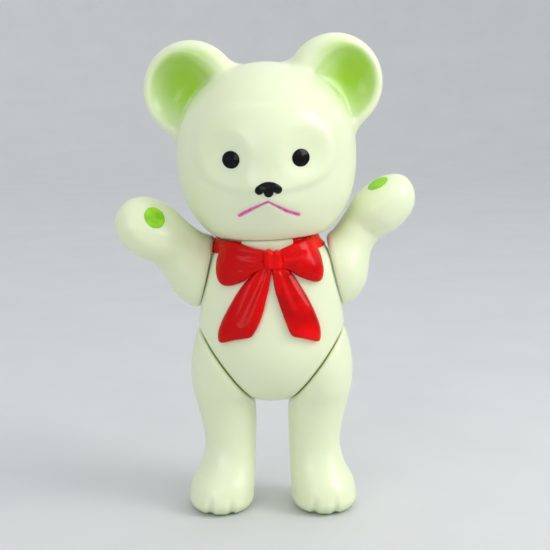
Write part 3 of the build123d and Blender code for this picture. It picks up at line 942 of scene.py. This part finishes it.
points, faces = field_mesh(head, (-63, -52, -43), (63, 50, 61), 1.1 * COARSE)
piece("head_vinyl", points, faces, "head", ["head_shell"], head_vinyl, HEAD_PLACE)

points, faces = field_mesh(torso, (-44, -33, 50), (44, 38, 146), 1.1 * COARSE)
piece("torso_vinyl", points, faces, "torso", ["torso_shell"], body_vinyl)

for side_name in ("left", "right"):
    place = arm_place(side_name)
    body = f"{side_name}_arm"
    field = partial(arm, side_name=side_name)
    points, faces = field_mesh(field, (-12, -20, -21), (46, 20, 56), 0.9 * COARSE)
    piece(f"{side_name}_arm_vinyl", points, faces, body, [body], body_vinyl, place)
    field = partial(palm_pad, side_name=side_name)
    points, faces = field_mesh(field, (4, -26, 28), (36, 10, 58), 0.4)
    pad_node = f"{side_name}_palm_pad"
    piece(f"{pad_node}_paint", points, faces, body, [pad_node], green, place)

points, faces = field_mesh(leg, (0, -26, -2), (46, 30, 96), 0.9 * COARSE)
for side_name, side in (("left", 1.0), ("right", -1.0)):
    body = f"{side_name}_leg"
    place = (np.diag([side, 1.0, 1.0]), np.zeros(3))
    piece(f"{side_name}_leg_vinyl", points, faces, body, [body], foot_vinyl, place)

for side_name, side in (("left", 1), ("right", -1)):
    field, (low, high) = eye(side)
    points, faces = field_mesh(field, low, high, 0.25)
    eye_node = f"{side_name}_eye"
    piece(f"{eye_node}_gloss", points, faces, "head", [eye_node], black, HEAD_PLACE)

points, faces = field_mesh(nose, (-8, -56, -20), (8, -38, -8), 0.25)
piece("nose_gloss", points, faces, "head", ["nose"], black, HEAD_PLACE)

points, faces = field_mesh(mouth, (-17, -56, -31), (17, -34, -17), 0.28, relax=1)
pink = mouth_paint()
mouth_line = piece("mouth_pink", points, faces, "head", ["mouth_line"], pink, HEAD_PLACE)
gap, half = mouth_distance(points[:, 0], points[:, 2])
mouth_line.data.attributes.new(CORE, "FLOAT", "POINT").data.foreach_set("value", 1 - gap / half)

for side_name in ("left", "right"):
    for part_name, outlines in (("loop", LOOPS), ("tail", TAILS)):
        name = f"{side_name}_{part_name}"
        field, (low, high) = bow_piece(name, outlines[side_name], *BOW_HEIGHTS[part_name])
        points, faces = field_mesh(field, low, high, 0.5 * COARSE, relax=2)
        bow_node = f"{side_name}_bow_{part_name}"
        piece(f"bow_{name}_relief", points, faces, "torso", [bow_node], red)

points, faces = field_mesh(knot, (-7, -38, 125), (9, -14, 142), 0.4, relax=2)
piece("bow_knot_relief", points, faces, "torso", ["bow_knot"], red)

points, faces = field_mesh(ribbon, (-36, -32, 131), (36, 34, 146), 0.7, relax=1)
piece("neck_ribbon_relief", points, faces, "torso", ["neck_ribbon"], red)

# ---------------------------------------------------------------- stage, camera and light
FLOOR_COLOUR = (0.66, 0.67, 0.67, 1)
FLOOR_MOTTLE = (0.56, 0.58, 0.59, 1)
FLOOR_RADIUS, FLOOR_BEND = 1.6, 0.9  # metres: flat this far out, then curved up with this radius
FLOOR_SPOKES = 64
SKY_DIM, SKY_BRIGHT = 0.55, 1.2


def stage_bowl():
    """A wide pale floor that curves up far off, the same from every side."""
    flat = np.linspace(0.0, FLOOR_RADIUS, 9)
    bend = np.linspace(0.2, 1.5, 8)
    radii = np.concatenate([flat, FLOOR_RADIUS + np.sin(bend) * FLOOR_BEND])
    rises = np.concatenate([np.zeros(9), (1 - np.cos(bend)) * FLOOR_BEND])
    around = FLOOR_SPOKES
    angles = np.arange(around) * 2 * np.pi / around
    points = [(r * cos(a), r * sin(a), z) for r, z in zip(radii[1:], rises[1:]) for a in angles]
    faces = []
    for inner in range(0, (len(radii) - 2) * around, around):
        outer = inner + around
        for j in range(around):
            after = (j + 1) % around
            faces.append((inner + j, outer + j, outer + after, inner + after))
    faces.append(tuple(range(around)))
    mesh = bpy.data.meshes.new("studio_floor")
    mesh.from_pydata(points, [], faces)
    mesh.polygons.foreach_set("use_smooth", [True] * len(mesh.polygons))
    floor = bpy.data.objects.new("studio_floor", mesh)
    paint = Paint("studio_paper", 0.7)
    mottle = paint.spread(paint.noise(60.0), 0.3, 0.7, 0.0, 0.3)
    paint.to("Base Color", paint.blend(mottle, FLOOR_COLOUR, FLOOR_MOTTLE))
    mesh.materials.append(paint.material)
    bpy.context.scene.collection.objects.link(floor)


def softbox(name, place, aim, size, watts, colour):
    lamp = bpy.data.lights.new(name, "AREA")
    lamp.shape = "RECTANGLE"
    lamp.size, lamp.size_y = size
    lamp.energy = watts
    lamp.color = colour
    obj = bpy.data.objects.new(name, lamp)
    obj.location = place
    obj.rotation_euler = (Vector(aim) - Vector(place)).to_track_quat("-Z", "Y").to_euler()
    bpy.context.scene.collection.objects.link(obj)


stage_bowl()
middle = (Vector(cad_box[0]) + Vector(cad_box[1])) / 2
softbox("window", (0.8, -0.3, 0.65), middle, (0.4, 0.6), 4.2, (1.0, 0.99, 0.97))
softbox("overhead", (0.15, -0.2, 1.0), middle, (0.9, 0.7), 0.4, (1.0, 1.0, 1.0))
softbox("front_fill", (-0.5, -0.95, 0.45), middle, (0.5, 0.5), 1.7, (0.97, 0.99, 1.0))

# The room is brighter towards the window than away from it
sky = bpy.data.worlds.new("room")
sky.use_nodes = True
nodes, links = sky.node_tree.nodes, sky.node_tree.links
across = nodes.new("ShaderNodeSeparateXYZ")
links.new(nodes.new("ShaderNodeTexCoord").outputs["Generated"], across.inputs["Vector"])
strength = nodes.new("ShaderNodeMapRange")
strength.inputs["From Min"].default_value = -1.0
strength.inputs["To Min"].default_value = SKY_DIM
strength.inputs["To Max"].default_value = SKY_BRIGHT
links.new(across.outputs["X"], strength.inputs["Value"])
links.new(strength.outputs["Result"], nodes["Background"].inputs["Strength"])
nodes["Background"].inputs["Color"].default_value = (0.95, 0.97, 1.0, 1)
bpy.context.scene.world = sky
bpy.context.scene.view_settings.view_transform = "Standard"

CAMERA_PLACE = (2.0, -617.7, 236.1)  # millimetres
CAMERA_PITCH = 10.6  # degrees down
CAMERA_ROLL = -0.5  # the photograph leans a little
FOCAL_LENGTH = 81.8  # on a sensor 36 mm wide
lens = bpy.data.cameras.new("camera")
lens.sensor_width = 36.0
lens.lens = FOCAL_LENGTH
lens.clip_start = 0.05
lens.clip_end = 20.0
camera = bpy.data.objects.new("camera", lens)
camera.location = Vector(CAMERA_PLACE) * MM
turned = Matrix.Rotation(radians(90 - CAMERA_PITCH), 3, "X") @ Matrix.Rotation(radians(CAMERA_ROLL), 3, "Z")
camera.rotation_euler = turned.to_euler()
bpy.context.scene.collection.objects.link(camera)
bpy.context.scene.camera = camera
